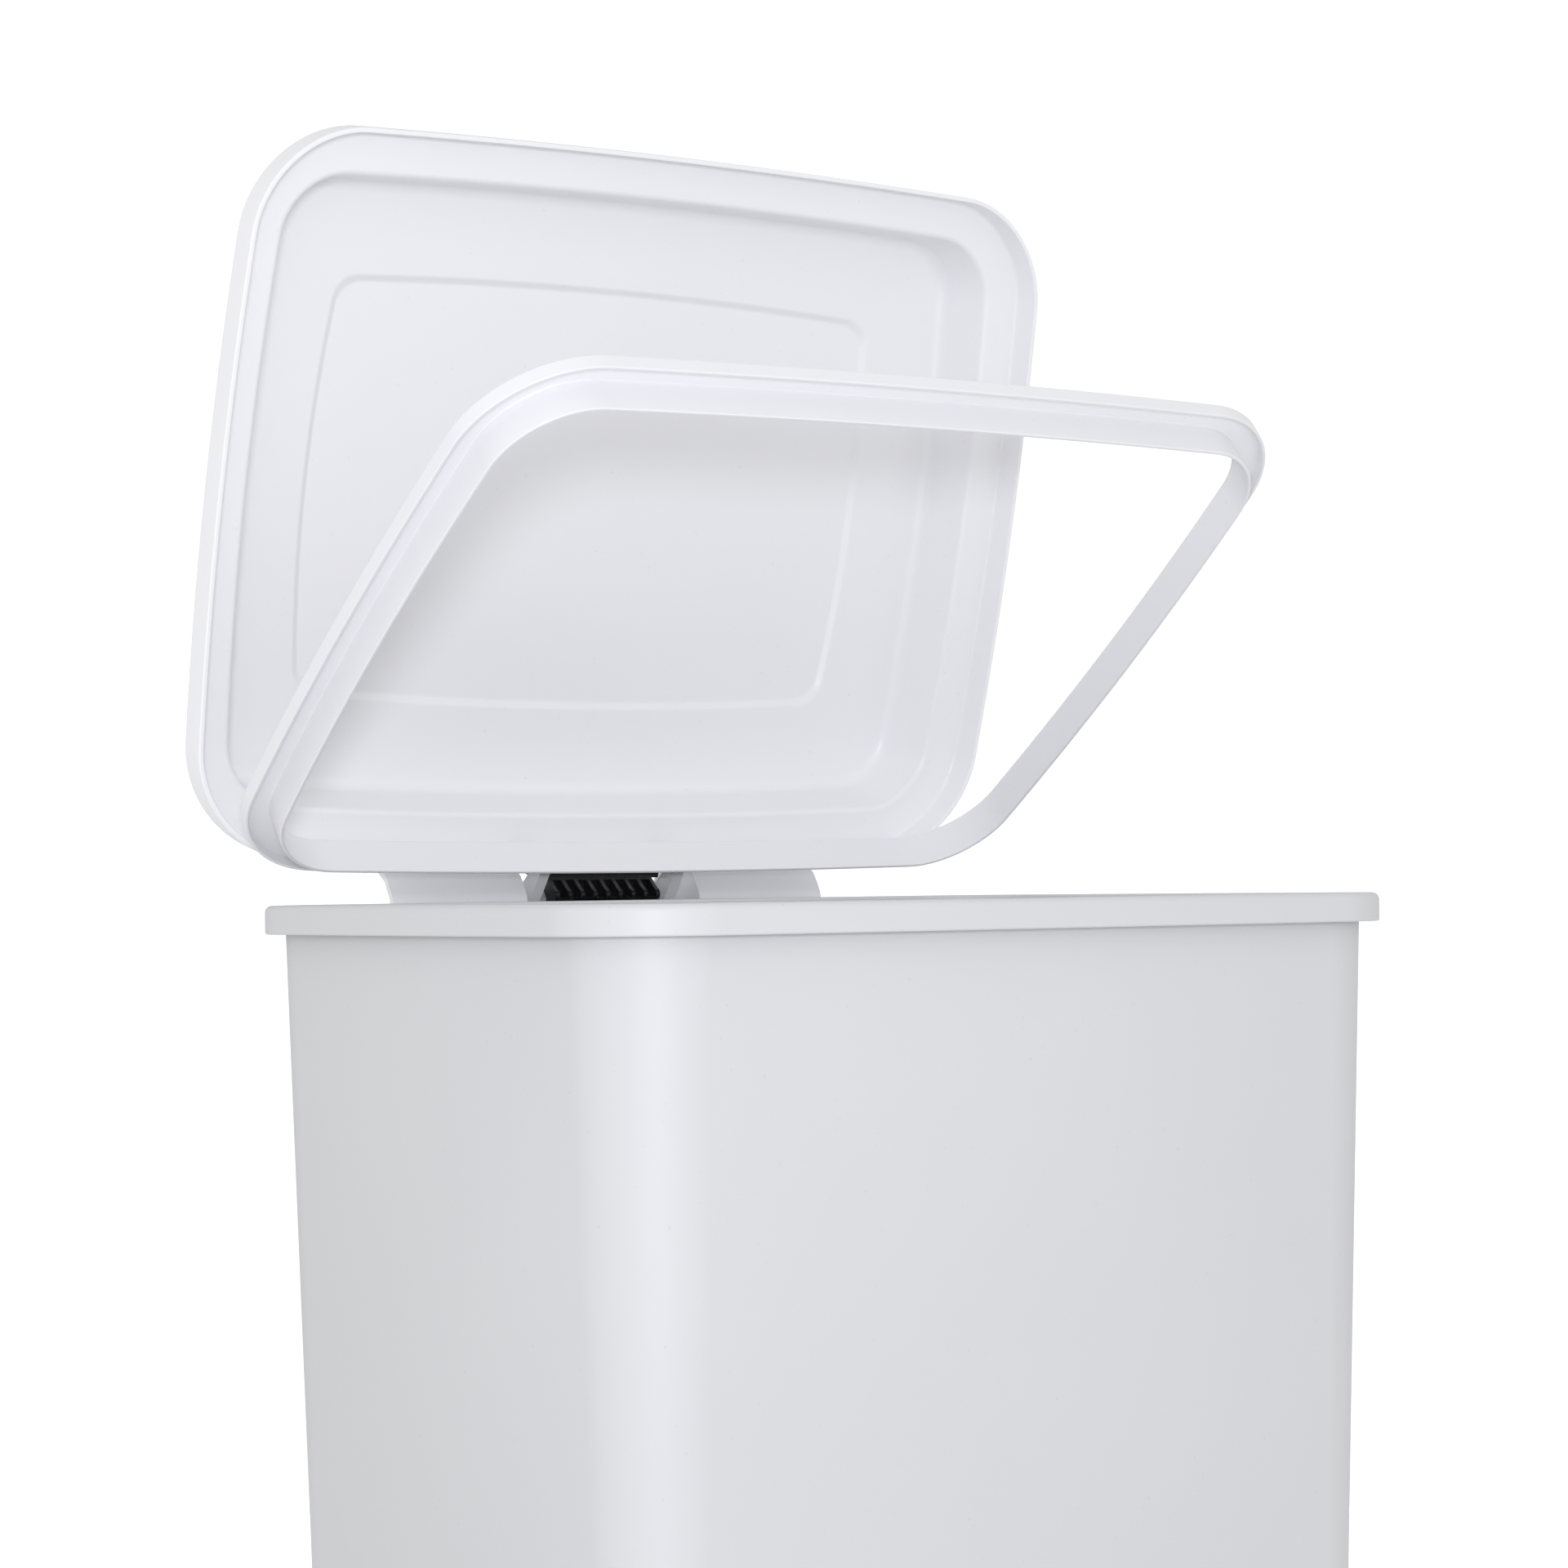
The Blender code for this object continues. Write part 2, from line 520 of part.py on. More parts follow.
def pedal_lever(pivot):
    """A flat steel lever with a hub on the axle, level in its own frame."""
    half = LEVER_THICKNESS / 2
    plan = [(-20, -238), (20, -238), (20, -20), (12, 60), (12, 172), (-12, 172), (-12, 60), (-20, -20)]
    strap = loft([[(x * MM, y * MM, z) for x, y in plan] for z in (-half, half)])
    part = add_part("pedal_lever", strap, pivot, (STEEL, 0.4, 1.0))
    length = 2 * HUB_HALF
    join(part, turned([(HUB_RADIUS, 0), (HUB_RADIUS, length)], (-HUB_HALF, 0, 0), (1, 0, 0), 32))
    drill(part, (-HUB_HALF, 0, 0), (1, 0, 0), BUSH_RADIUS + GAP, length + MM)
    section = [(AXLE_RADIUS + GAP, 0), (BUSH_RADIUS, 0), (BUSH_RADIUS, length), (AXLE_RADIUS + GAP, length)]
    bush = turned_ring(section, (-HUB_HALF, 0, 0), (1, 0, 0), 32)
    add_part("lever_bush", bush, pivot, (BLACK, 0.5))
    for x, y in pedal_screws():
        drill(part, (x, y, -half), (0, 0, 1), 2.3 * MM, LEVER_THICKNESS + MM)



def pedal_screws():
    return [(x * MM, -207 * MM) for x in (-11, 11)]


def pedal_pad(pivot):
    """The tread, a ribbed plastic pad that slides over the end of the lever."""
    half = LEVER_THICKNESS / 2
    pad = box(-56 * MM, 56 * MM, -242 * MM, -172 * MM, -6 * MM, 9 * MM)
    part = add_part("pedal_pad", pad, pivot, (BLACK, 0.5))
    soften(part, 3 * MM, 3)
    for row in range(6):
        front = (-236 + 11 * row) * MM
        cut(part, box(-50 * MM, 50 * MM, front, front + 4 * MM, 7.6 * MM, 12 * MM))
    cut(part, box(-20 * MM - GAP, 20 * MM + GAP, -238 * MM - GAP, -160 * MM,
                  -half - GAP, half + GAP))
    for side, (x, y) in zip(("left", "right"), pedal_screws()):
        drill(part, (x, y, -10 * MM), (0, 0, 1), 2.3 * MM, 16 * MM)
        drill(part, (x, y, -10 * MM), (0, 0, 1), 4.6 * MM, 5.8 * MM)
        add_screw(f"pedal_screw_{side}", (x, y, -4.5 * MM), (0, 0, 1), pivot, 9.5 * MM, head=3.6 * MM)


def lift_rod(slide):
    """The rod from the lever's rear end to the lid's nose, with a shoe and a head."""
    lever_top = AXLE_Z + (ROD_Y - AXLE_Y) * math.tan(PEDAL_SWING / 2) + LEVER_THICKNESS / 2
    shoe = lever_top + 2 * GAP
    open_angle = LID_OPEN - abs(NOSE_ANGLE)
    head = HINGE_Z + NOSE_REACH * math.sin(open_angle) - NOSE_RADIUS - NOSE_CLEARANCE
    bottom, top = shoe + 6 * MM, head - 3 * MM
    stations = [(ROD_RADIUS - 0.5 * MM, bottom), (ROD_RADIUS, bottom + 0.5 * MM),
                (ROD_RADIUS, top - 0.5 * MM), (ROD_RADIUS - 0.5 * MM, top)]
    add_part("lift_rod", turned(stations, (0, ROD_Y, 0)), slide, (STEEL, 0.3, 1.0))
    stations = [(2 * MM, 0), (6 * MM, 1.2 * MM), (8 * MM, 4 * MM), (8 * MM, 14 * MM), (6 * MM, 16 * MM)]
    part = add_part("rod_shoe", turned(stations, (0, ROD_Y, shoe)), slide, (BLACK, 0.5))
    drill(part, (0, ROD_Y, bottom + 12 * MM), (0, 0, -1), ROD_RADIUS + GAP, 12 * MM + GAP)
    plate = box(-14 * MM, 14 * MM, ROD_Y - 6 * MM, ROD_Y + 5 * MM, head - 8 * MM, head)
    part = add_part("rod_head", plate, slide, (BLACK, 0.5))
    soften(part, MM, 2)
    drill(part, (0, ROD_Y, head - 9 * MM), (0, 0, 1), ROD_RADIUS + GAP, 6 * MM + GAP)


clear_scene()
PARTS = new_collection("pedal_bin")
CUTTERS = new_collection("cutters")
frame = new_empty("bin_frame", None, (0, CENTRE_SHIFT, 0))
lid_hinge = new_empty("lid_hinge", frame, (0, HINGE_Y, HINGE_Z), -LID_OPEN)
ring_hinge = new_empty("ring_hinge", frame, (0, HINGE_Y, HINGE_Z), -RING_OPEN)
pedal_pivot = new_empty("pedal_pivot", frame, (0, AXLE_Y, AXLE_Z), PEDAL_SWING / 2)
lift_slide = new_empty("lift_slide", frame, (0, 0, 0))

body_shell(frame)
base_plate(frame)
feet(frame)
hinge_tower(frame)
hinge_pin(frame)
rod_channel(frame)
rod_guide(frame)
pedal_axle(frame)
lid_shell(lid_hinge)
hinge_block(lid_hinge)
bag_ring(ring_hinge)
pedal_lever(pedal_pivot)
pedal_pad(pedal_pivot)
lift_rod(lift_slide)
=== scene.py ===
import math
from collections import namedtuple

import bmesh
import bpy
from mathutils import Matrix, Vector

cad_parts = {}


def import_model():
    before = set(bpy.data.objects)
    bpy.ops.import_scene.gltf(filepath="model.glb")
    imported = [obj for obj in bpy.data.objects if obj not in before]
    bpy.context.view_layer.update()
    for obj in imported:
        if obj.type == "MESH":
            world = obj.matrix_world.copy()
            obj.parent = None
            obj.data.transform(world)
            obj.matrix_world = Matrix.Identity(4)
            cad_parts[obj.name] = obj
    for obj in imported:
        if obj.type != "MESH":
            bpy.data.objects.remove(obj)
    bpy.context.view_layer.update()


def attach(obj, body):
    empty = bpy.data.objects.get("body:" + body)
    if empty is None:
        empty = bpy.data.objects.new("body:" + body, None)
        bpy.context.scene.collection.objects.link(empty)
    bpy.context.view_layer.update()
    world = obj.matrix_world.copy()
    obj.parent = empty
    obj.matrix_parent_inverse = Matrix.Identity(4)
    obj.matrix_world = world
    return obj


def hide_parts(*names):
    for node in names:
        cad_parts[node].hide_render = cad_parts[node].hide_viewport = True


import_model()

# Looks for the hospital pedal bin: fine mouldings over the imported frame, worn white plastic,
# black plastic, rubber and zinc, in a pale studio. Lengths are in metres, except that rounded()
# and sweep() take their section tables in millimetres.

MM = 0.001

# Outlines seen from above: half width, half depth, corner radius, bow of the ends, bow of the sides
RIM = (0.230, 0.172, 0.051, 0.007, 0.004)
RING = (0.232, 0.174, 0.053, 0.007, 0.004)
LID = (0.237, 0.179, 0.054, 0.007, 0.005)
CORNER_STEPS = 18
SIDE_STEPS = 14
SMALLEST_RADIUS = 0.012
DEGREES_A_STEP = 15

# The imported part's places and sizes, which the fine mouldings keep to
CENTRE_SHIFT = -0.0064
HINGE_Y, HINGE_Z = 0.204, 0.5955
LID_OPEN = math.radians(76.2)
RING_OPEN = math.radians(38.2)
AXLE_Y, AXLE_Z = 0.020, 0.030
PEDAL_SWING = math.radians(6.9)
ROD_Y = 0.188
RIM_TOP = 0.600
RIM_UNDERSIDE = 0.5866
OVERHANG, TAPER, WALL = 0.0093, 0.031, 0.0023
SKIRT_BOTTOM = 0.0124
TOWER_RADIUS, TOWER_HALF, TOWER_WALL, TOWER_BOTTOM = 0.0238, 0.092, 0.003, 0.542
LEDGE_DROP, WING_HALF, WING_WALL = 0.002, 0.129, 0.003
RECESS_HALF, RECESS_FLOOR = 0.052, 0.548
CHANNEL_TOP, CHANNEL_BACK, CHANNEL_WALL = 0.538, 0.201, 0.0025
CHANNEL_HALF, CHANNEL_FLANGE_HALF = 0.022, 0.034
ARM_INNER, ARM_OUTER = 0.0376, 0.0434
PIN_RADIUS, PIN_HALF = 0.003, 0.060
AXLE_RADIUS, AXLE_HALF, BUSH_RADIUS = 0.004, 0.043, 0.006
LUG_INNER, LUG_OUTER, LUG_RADIUS = 0.034, 0.039, 0.010
HUB_HALF, HUB_RADIUS = 0.030, 0.009
ROD_RADIUS, SOCKET_RADIUS = 0.003, 0.0033
LEVER_HALF_THICK = 0.0025
TREAD_Y, TREAD_HALF_WIDTH, TREAD_HALF_DEPTH = -0.207, 0.056, 0.035
TREAD_SCREW_X = 0.011
GROOVE_COUNT, GROOVE_PITCH, FIRST_GROOVE = 8, 0.0075, -0.2345
BLOCK_HALF, FLANGE_HALF, BLOCK_SCREW_X = 0.0315, 0.0368, 0.026
KNUCKLE_RADIUS, KNUCKLE_HALF = 0.0085, 0.022
BOSS_FACE, FLANGE_FACE = -0.0203, -0.0172
RIB_COUNT, RIB_WIDTH = 9, 0.0022
NOSE_REACH, NOSE_ANGLE, NOSE_RADIUS = 0.0167, math.radians(-50), 0.003
GAP = 0.0003

# A screw's shank, its head and the hole it goes through, as radii
Screw = namedtuple("Screw", "shank head hole")
LARGE_SCREW = Screw(0.002, 0.004, 0.0023)
TREAD_SCREW = Screw(0.002, 0.0036, 0.0023)
CHANNEL_SCREW = Screw(0.00175, 0.0035, 0.0021)
BLOCK_SCREW = Screw(0.0015, 0.003, 0.0019)
CROSS_TURN = 1.4  # radians, of the drive recess

ROOM_LEVEL = 0.77
FLOOR_RADIUS, DOME_RADIUS, CENTRE_RADIUS = 2.0, 9, 0.02


def hinged(y, z, turn):
    return Matrix.Translation((0, CENTRE_SHIFT + y, z)) @ Matrix.Rotation(turn, 4, "X")


# Where each body's own frame sits while the lid is held open
PLACES = {
    "body": hinged(0, 0, 0),
    "lift": hinged(0, 0, 0),
    "lid": hinged(HINGE_Y, HINGE_Z, -LID_OPEN),
    "ring": hinged(HINGE_Y, HINGE_Z, -RING_OPEN),
    "pedal": hinged(AXLE_Y, AXLE_Z, PEDAL_SWING / 2),
}


# ---------------------------------------------------------------- mesh building

def loft(rings, closed=False):
    bm = bmesh.new()
    loops = [[bm.verts.new(point) for point in ring] for ring in rings]
    following = loops[1:] + loops[:1] if closed else loops[1:]
    for near, far in zip(loops, following):
        for i in range(len(near)):
            j = (i + 1) % len(near)
            bm.faces.new((near[i], near[j], far[j], far[i]))
    if not closed:
        bm.faces.new(loops[0])
        bm.faces.new(loops[-1])
    bmesh.ops.recalc_face_normals(bm, faces=bm.faces)
    return bm


def outline(shape, offset):
    """A rounded rectangle with bowed sides, drawn a distance inside the given shape."""
    half_x, half_y = shape[0] - offset, shape[1] - offset
    radius = max(shape[2] - offset, SMALLEST_RADIUS)
    bow_x, bow_y = shape[3:]
    centres = [(half_x - radius, half_y - radius), (radius - half_x, half_y - radius),
               (radius - half_x, radius - half_y), (half_x - radius, radius - half_y)]
    points = []
    for quarter, (x, y) in enumerate(centres):
        for step in range(CORNER_STEPS + 1):
            angle = (quarter + step / CORNER_STEPS) * math.pi / 2
            points.append(Vector((x + radius * math.cos(angle), y + radius * math.sin(angle))))
        end = math.pi / 2 * (quarter + 1)
        next_x, next_y = centres[(quarter + 1) % 4]
        start = points[-1]
        target = Vector((next_x + radius * math.cos(end), next_y + radius * math.sin(end)))
        points += [start.lerp(target, step / SIDE_STEPS) for step in range(1, SIDE_STEPS)]
    return [(p.x - bow_x * p.x / half_x * (p.y / half_y) ** 2,
             p.y - bow_y * p.y / half_y * (p.x / half_x) ** 2) for p in points]


def rounded(corners, closed=False):
    """A section of (a, b) points in metres, from (a, b, radius) corners in millimetres."""
    points = []
    last = len(corners) - 1
    for i, (a, b, radius) in enumerate(corners):
        here = Vector((a, b)) * MM
        if radius == 0 or (not closed and i in (0, last)):
            points.append(here)
            continue
        before = Vector(corners[i - 1][:2]) * MM - here
        after = Vector(corners[(i + 1) % len(corners)][:2]) * MM - here
        half = before.angle(after) / 2
        reach = min(radius * MM / math.tan(half), 0.48 * before.length, 0.48 * after.length)
        inward = (before.normalized() + after.normalized()).normalized()
        middle = here + inward * (reach / math.cos(half))
        first, final = here + before.normalized() * reach, here + after.normalized() * reach
        turn = (first - middle).angle_signed(final - middle)
        steps = max(2, math.ceil(abs(math.degrees(turn)) / DEGREES_A_STEP))
        for step in range(steps + 1):
            arm = first - middle
            arm.rotate(Matrix.Rotation(-turn * step / steps, 2))
            points.append(middle + arm)
    return points


def sweep(shape, corners, lift=0.0, shift=0.0, closed=False):
    """A wall section of (distance inside the shape, height, radius) corners, run round it."""
    rings = [[(x, y + shift, p.y + lift) for x, y in outline(shape, p.x)]
             for p in rounded(corners, closed)]
    return loft(rings, closed)


def prism(section, left, right):
    return loft([[(x, y, z) for y, z in section] for x in (left, right)])


def box(left, right, front, back, bottom, top):
    return prism([(front, bottom), (back, bottom), (back, top), (front, top)], left, right)


def turned(stations, start, direction=(0, 0, 1), sides=40, hollow=False):
    """A solid or a ring turned round an axis, from (radius, distance along the axis) stations."""
    turns = [2 * math.pi * i / sides for i in range(sides)]
    if hollow:
        rings = [[(r * math.cos(t), r * math.sin(t), a) for r, a in stations] for t in turns]
    else:
        rings = [[(r * math.cos(t), r * math.sin(t), a) for t in turns] for r, a in stations]
    bm = loft(rings, hollow)
    turn = Vector((0, 0, 1)).rotation_difference(Vector(direction)).to_matrix().to_4x4()
    bmesh.ops.transform(bm, matrix=Matrix.Translation(start) @ turn, verts=bm.verts)
    return bm


def hole(start, direction, radius, depth):
    return "DIFFERENCE", turned([(radius, -MM), (radius, depth)], start, direction)


def arc(centre_y, centre_z, radius, first, last, steps):
    angles = [math.radians(first + (last - first) * i / steps) for i in range(steps + 1)]
    return [(centre_y + radius * math.cos(a), centre_z + radius * math.sin(a)) for a in angles]


def solid(bm):
    mesh = bpy.data.meshes.new("solid")
    bm.to_mesh(mesh)
    bm.free()
    obj = bpy.data.objects.new("solid", mesh)
    bpy.context.scene.collection.objects.link(obj)
    return obj


def shaped(bm, changes=(), edge=0.0, segments=2, angle=40):
    """The mesh left by its Boolean changes and a rounding of its sharp edges."""
    base = solid(bm)
    tools = []
    for operation, tool in changes:
        tools.append(solid(tool))
        change = base.modifiers.new("change", "BOOLEAN")
        change.operation = operation
        change.object = tools[-1]
        change.solver = "EXACT"
    if edge:
        bevel = base.modifiers.new("edges", "BEVEL")
        bevel.width = edge
        bevel.segments = segments
        bevel.limit_method = "ANGLE"
        bevel.angle_limit = math.radians(angle)
    bpy.context.view_layer.update()
    evaluated = base.evaluated_get(bpy.context.evaluated_depsgraph_get())
    mesh = bpy.data.meshes.new_from_object(evaluated)
    for obj in [base, *tools]:
        bpy.data.objects.remove(obj, do_unlink=True)
    return mesh


def piece(name, mesh, body, material, nodes, angle=35):
    """Puts a finished mesh on its body in place of the CAD nodes it stands for."""
    mesh.transform(PLACES[body])
    mesh.name = name
    for polygon in mesh.polygons:
        polygon.use_smooth = True
    mesh.set_sharp_from_angle(angle=math.radians(angle))
    mesh.materials.clear()
    mesh.materials.append(material)
    obj = bpy.data.objects.new(name, mesh)
    bpy.context.scene.collection.objects.link(obj)
    shading = obj.modifiers.new("even_shading", "WEIGHTED_NORMAL")
    shading.keep_sharp = True
    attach(obj, body)
    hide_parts(*nodes)


# ---------------------------------------------------------------- materials

class Nodes:
    """A material's node tree with short calls for its usual parts."""

    def __init__(self, name):
        self.material = bpy.data.materials.new(name)
        self.material.use_nodes = True
        self.tree = self.material.node_tree
        self.shader = self.tree.nodes["Principled BSDF"]
        self.place = self.add("ShaderNodeTexCoord").outputs["Object"]

    def add(self, kind, **settings):
        node = self.tree.nodes.new(kind)
        for key, value in settings.items():
            setattr(node, key, value)
        return node

    def link(self, output, target):
        self.tree.links.new(output, target)

    def stretched(self, scale):
        mapping = self.add("ShaderNodeMapping")
        mapping.inputs["Scale"].default_value = scale
        self.link(self.place, mapping.inputs["Vector"])
        return mapping.outputs["Vector"]

    def noise(self, scale, detail=2.0, place=None, roughness=0.5):
        node = self.add("ShaderNodeTexNoise")
        node.inputs["Scale"].default_value = scale
        node.inputs["Detail"].default_value = detail
        node.inputs["Roughness"].default_value = roughness
        self.link(place or self.place, node.inputs["Vector"])
        return node.outputs["Fac"]

    def spread(self, value, low, high, start=0.3, end=0.7):
        """Stretches a value, so that start gives low and end gives high."""
        node = self.add("ShaderNodeMapRange")
        ends = (("From Min", start), ("From Max", end), ("To Min", low), ("To Max", high))
        for socket, number in ends:
            node.inputs[socket].default_value = number
        self.link(value, node.inputs["Value"])
        return node.outputs["Result"]

    def combined(self, operation, first, second):
        node = self.add("ShaderNodeMath", operation=operation)
        self.link(first, node.inputs[0])
        self.link(second, node.inputs[1])
        return node.outputs["Value"]

    def blend(self, factor, first, second):
        """A colour between two, each a plain colour or another node's output."""
        node = self.add("ShaderNodeMix", data_type="RGBA")
        self.link(factor, node.inputs["Factor"])
        for socket, colour in ((node.inputs[6], first), (node.inputs[7], second)):
            if isinstance(colour, tuple):
                socket.default_value = (*colour, 1)
            else:
                self.link(colour, socket)
        return node.outputs[2]

    def bump(self, height, strength, distance, under=None):
        node = self.add("ShaderNodeBump")
        node.inputs["Strength"].default_value = strength
        node.inputs["Distance"].default_value = distance
        self.link(height, node.inputs["Height"])
        if under:
            self.link(under, node.inputs["Normal"])
        return node.outputs["Normal"]

    def surface(self, colour, roughness, normal):
        self.link(colour, self.shader.inputs["Base Color"])
        self.link(roughness, self.shader.inputs["Roughness"])
        self.link(normal, self.shader.inputs["Normal"])

    def set(self, **values):
        for socket, value in values.items():
            self.shader.inputs[socket.replace("_", " ")].default_value = value
        return self.material


def white_plastic(name, tone, shade, roughness, ripple):
    """Moulded plastic: slow cloudiness, specks, rub marks, a rippled skin and dulled edges."""
    n = Nodes(name)
    cloud = n.noise(5, 3)
    colour = n.blend(n.spread(cloud, 0, 1), tone, shade)
    rubs = n.noise(90, 4, n.stretched((1, 1, 0.4)), 0.65)
    specks = n.noise(420, 1)
    dirt = n.spread(specks, 0, 0.55, 0.74, 0.86)
    colour = n.blend(dirt, colour, tuple(0.8 * c for c in shade))
    edges = n.spread(n.add("ShaderNodeNewGeometry").outputs["Pointiness"], 0, 0.08, 0.52, 0.6)
    gloss = n.combined("ADD", n.spread(rubs, roughness - 0.02, roughness + 0.03, 0.3, 0.75), edges)
    skin = n.bump(n.noise(38, 2), ripple, 0.0012)
    grain = n.bump(n.noise(700, 2), 0.03, 0.0001, skin)
    n.surface(colour, gloss, grain)
    return n.set(IOR=1.5)


def black_plastic(name, tone, roughness, fineness):
    """Spark-textured black plastic with a little dust in it."""
    n = Nodes(name)
    dust = n.spread(n.noise(60, 5, roughness=0.7), 0, 0.5, 0.55, 0.8)
    colour = n.blend(dust, tone, tuple(c + 0.028 for c in tone))
    gloss = n.spread(n.noise(160, 3), roughness - 0.07, roughness + 0.1)
    n.surface(colour, gloss, n.bump(n.noise(fineness, 3), 0.35, 0.0002))
    return n.set(IOR=1.5)


def rubber(name):
    n = Nodes(name)
    dust = n.spread(n.noise(110, 5, roughness=0.7), 0, 0.6, 0.5, 0.8)
    colour = n.blend(dust, (0.022, 0.022, 0.023), (0.075, 0.073, 0.07))
    gloss = n.spread(n.noise(240, 3), 0.72, 0.92)
    n.surface(colour, gloss, n.bump(n.noise(1300, 3), 0.5, 0.0002))
    return n.set(IOR=1.48)


def zinc(name, drawn):
    """Zinc-plated steel with spangled patches and fine lines along its drawing direction."""
    n = Nodes(name)
    patch = n.add("ShaderNodeTexVoronoi")
    patch.inputs["Scale"].default_value = 260
    n.link(n.place, patch.inputs["Vector"])
    spangle = n.spread(patch.outputs["Color"], 0, 1, 0, 1)
    colour = n.blend(spangle, (0.60, 0.61, 0.63), (0.72, 0.72, 0.71))
    lines = n.noise(900, 2, n.stretched(drawn))
    gloss = n.spread(lines, 0.29, 0.42)
    n.surface(colour, gloss, n.bump(lines, 0.12, 0.00015))
    return n.set(Metallic=1.0)


# One white plastic in four tones: painted shade darkens it on the body and channel cover, and
# painted light brightens it on the lid, ring and tower, standing in for the glow of the lid's
# translucency and interreflected light
BODY_WHITE_PAINTED_SHADE = white_plastic("body_white_painted_shade", (0.68, 0.682, 0.693), (0.66, 0.662, 0.677),
                           0.47, 0.16)
LID_WHITE_PAINTED_LIGHT = white_plastic("lid_white_painted_light", (0.93, 0.93, 0.95), (0.915, 0.915, 0.94), 0.33, 0.12)
RING_WHITE_PAINTED_LIGHT = white_plastic("ring_white_painted_light", (0.885, 0.885, 0.905), (0.87, 0.87, 0.895),
                           0.33, 0.14)
TOWER_WHITE_PAINTED_LIGHT = white_plastic("tower_white_painted_light", (0.93, 0.93, 0.945), (0.91, 0.91, 0.93),
                            0.36, 0.14)
HINGE_BLACK = black_plastic("hinge_black_plastic", (0.012, 0.012, 0.014), 0.34, 1100)
PART_BLACK = black_plastic("part_black_plastic", (0.018, 0.018, 0.02), 0.5, 1500)
FOOT_RUBBER = rubber("foot_rubber_black")
STEEL_LONG = zinc("zinc_drawn_upright", (1, 1, 0.03))
STEEL_CROSS = zinc("zinc_drawn_across", (0.03, 1, 1))


# ---------------------------------------------------------------- the bin's own body

def wall_offset(height):
    return OVERHANG + TAPER * (RIM_UNDERSIDE - height)


def rear_wall(height, x=0.0):
    offset = wall_offset(height)
    return RIM[1] - offset - RIM[4] * (x / (RIM[0] - offset)) ** 2


def four_places(half, rows):
    """A name, an x and a row's own height or depth for each of four fixings."""
    return [(f"{row}_{side}", x, place) for side, x in (("left", -half), ("right", half))
            for row, place in rows]


CHANNEL_SCREWS = four_places(0.028, (("lower", 0.120), ("upper", 0.480)))
TOWER_SCREWS = four_places(0.076, (("lower", 0.553), ("upper", 0.573)))
FEET = four_places(0.150, (("front", -0.095), ("rear", 0.095)))


def body_moulding():
    def wall(height):
        return wall_offset(height * MM) / MM

    thick = WALL / MM
    corners = [
        (wall(57.5) + thick + 20, 57.5, 0), (wall(57.5) + thick, 57.5, 1.5),
        (wall(12.4) + thick, 12.4, 0.5), (wall(12.4), 12.4, 0.9), (9.3, 586.6, 0.8),
        (8, 588.6, 0.6), (8, 597.6, 0.6), (2.4, 597.6, 0.6), (2.4, 586.6, 0.4), (0, 586.6, 1.1),
        (0, 600, 3.2), (10.3, 600, 1.5), (10.3, 584, 0.8), (wall(582.5) + thick, 582.5, 0.8),
        (wall(60) + thick, 60, 9), (wall(60) + thick + 30, 60, 0)]
    changes = []
    for _, x, y in FEET:
        post = turned([(0.007, SKIRT_BOTTOM + GAP), (0.0076, 0.0585)], (x, y, 0))
        changes += [("UNION", post),
                    hole((x, y, SKIRT_BOTTOM), (0, 0, 1), LARGE_SCREW.hole, 0.022)]
    rear = rear_wall(SKIRT_BOTTOM)
    for half, wall_y in ((0.026, -rear), (0.015, rear)):
        section = [(-half, -0.010), (half, -0.010), (half, 0.048), (half - 0.004, 0.052),
                   (0.004 - half, 0.052), (-half, 0.048)]
        notch = loft([[(x, y, z) for x, z in section] for y in (wall_y - 0.02, wall_y + 0.02)])
        changes.append(("DIFFERENCE", notch))
    for places, size in ((CHANNEL_SCREWS, CHANNEL_SCREW), (TOWER_SCREWS, LARGE_SCREW)):
        for _, x, height in places:
            start = (x, rear_wall(height) + 0.003, height)
            changes.append(hole(start, (0, -1, 0), size.hole, 0.009))
    piece("body_moulding", shaped(sweep(RIM, corners), changes), "body", BODY_WHITE_PAINTED_SHADE,
          ["body_shell"])


def base_moulding():
    edge = wall_offset(SKIRT_BOTTOM) / MM
    corners = [(edge + 30, 8, 0), (edge, 8, 1.2), (edge, 12, 0.4), (edge + 30, 12, 0)]
    changes = []
    lug = [(AXLE_Y - 0.014, 0.011), (AXLE_Y + 0.014, 0.011),
           *arc(AXLE_Y, AXLE_Z, LUG_RADIUS, 0, 180, 24)]
    for side in (-1, 1):
        changes.append(("UNION", prism(lug, side * LUG_INNER, side * LUG_OUTER)))
    changes.append(hole((-0.045, AXLE_Y, AXLE_Z), (1, 0, 0), AXLE_RADIUS + GAP, 0.09))
    for _, x, y in FEET:
        changes.append(hole((x, y, 0.008), (0, 0, 1), LARGE_SCREW.hole, 0.006))
    piece("base_moulding", shaped(sweep(RIM, corners), changes), "body", PART_BLACK,
          ["base_plate"])


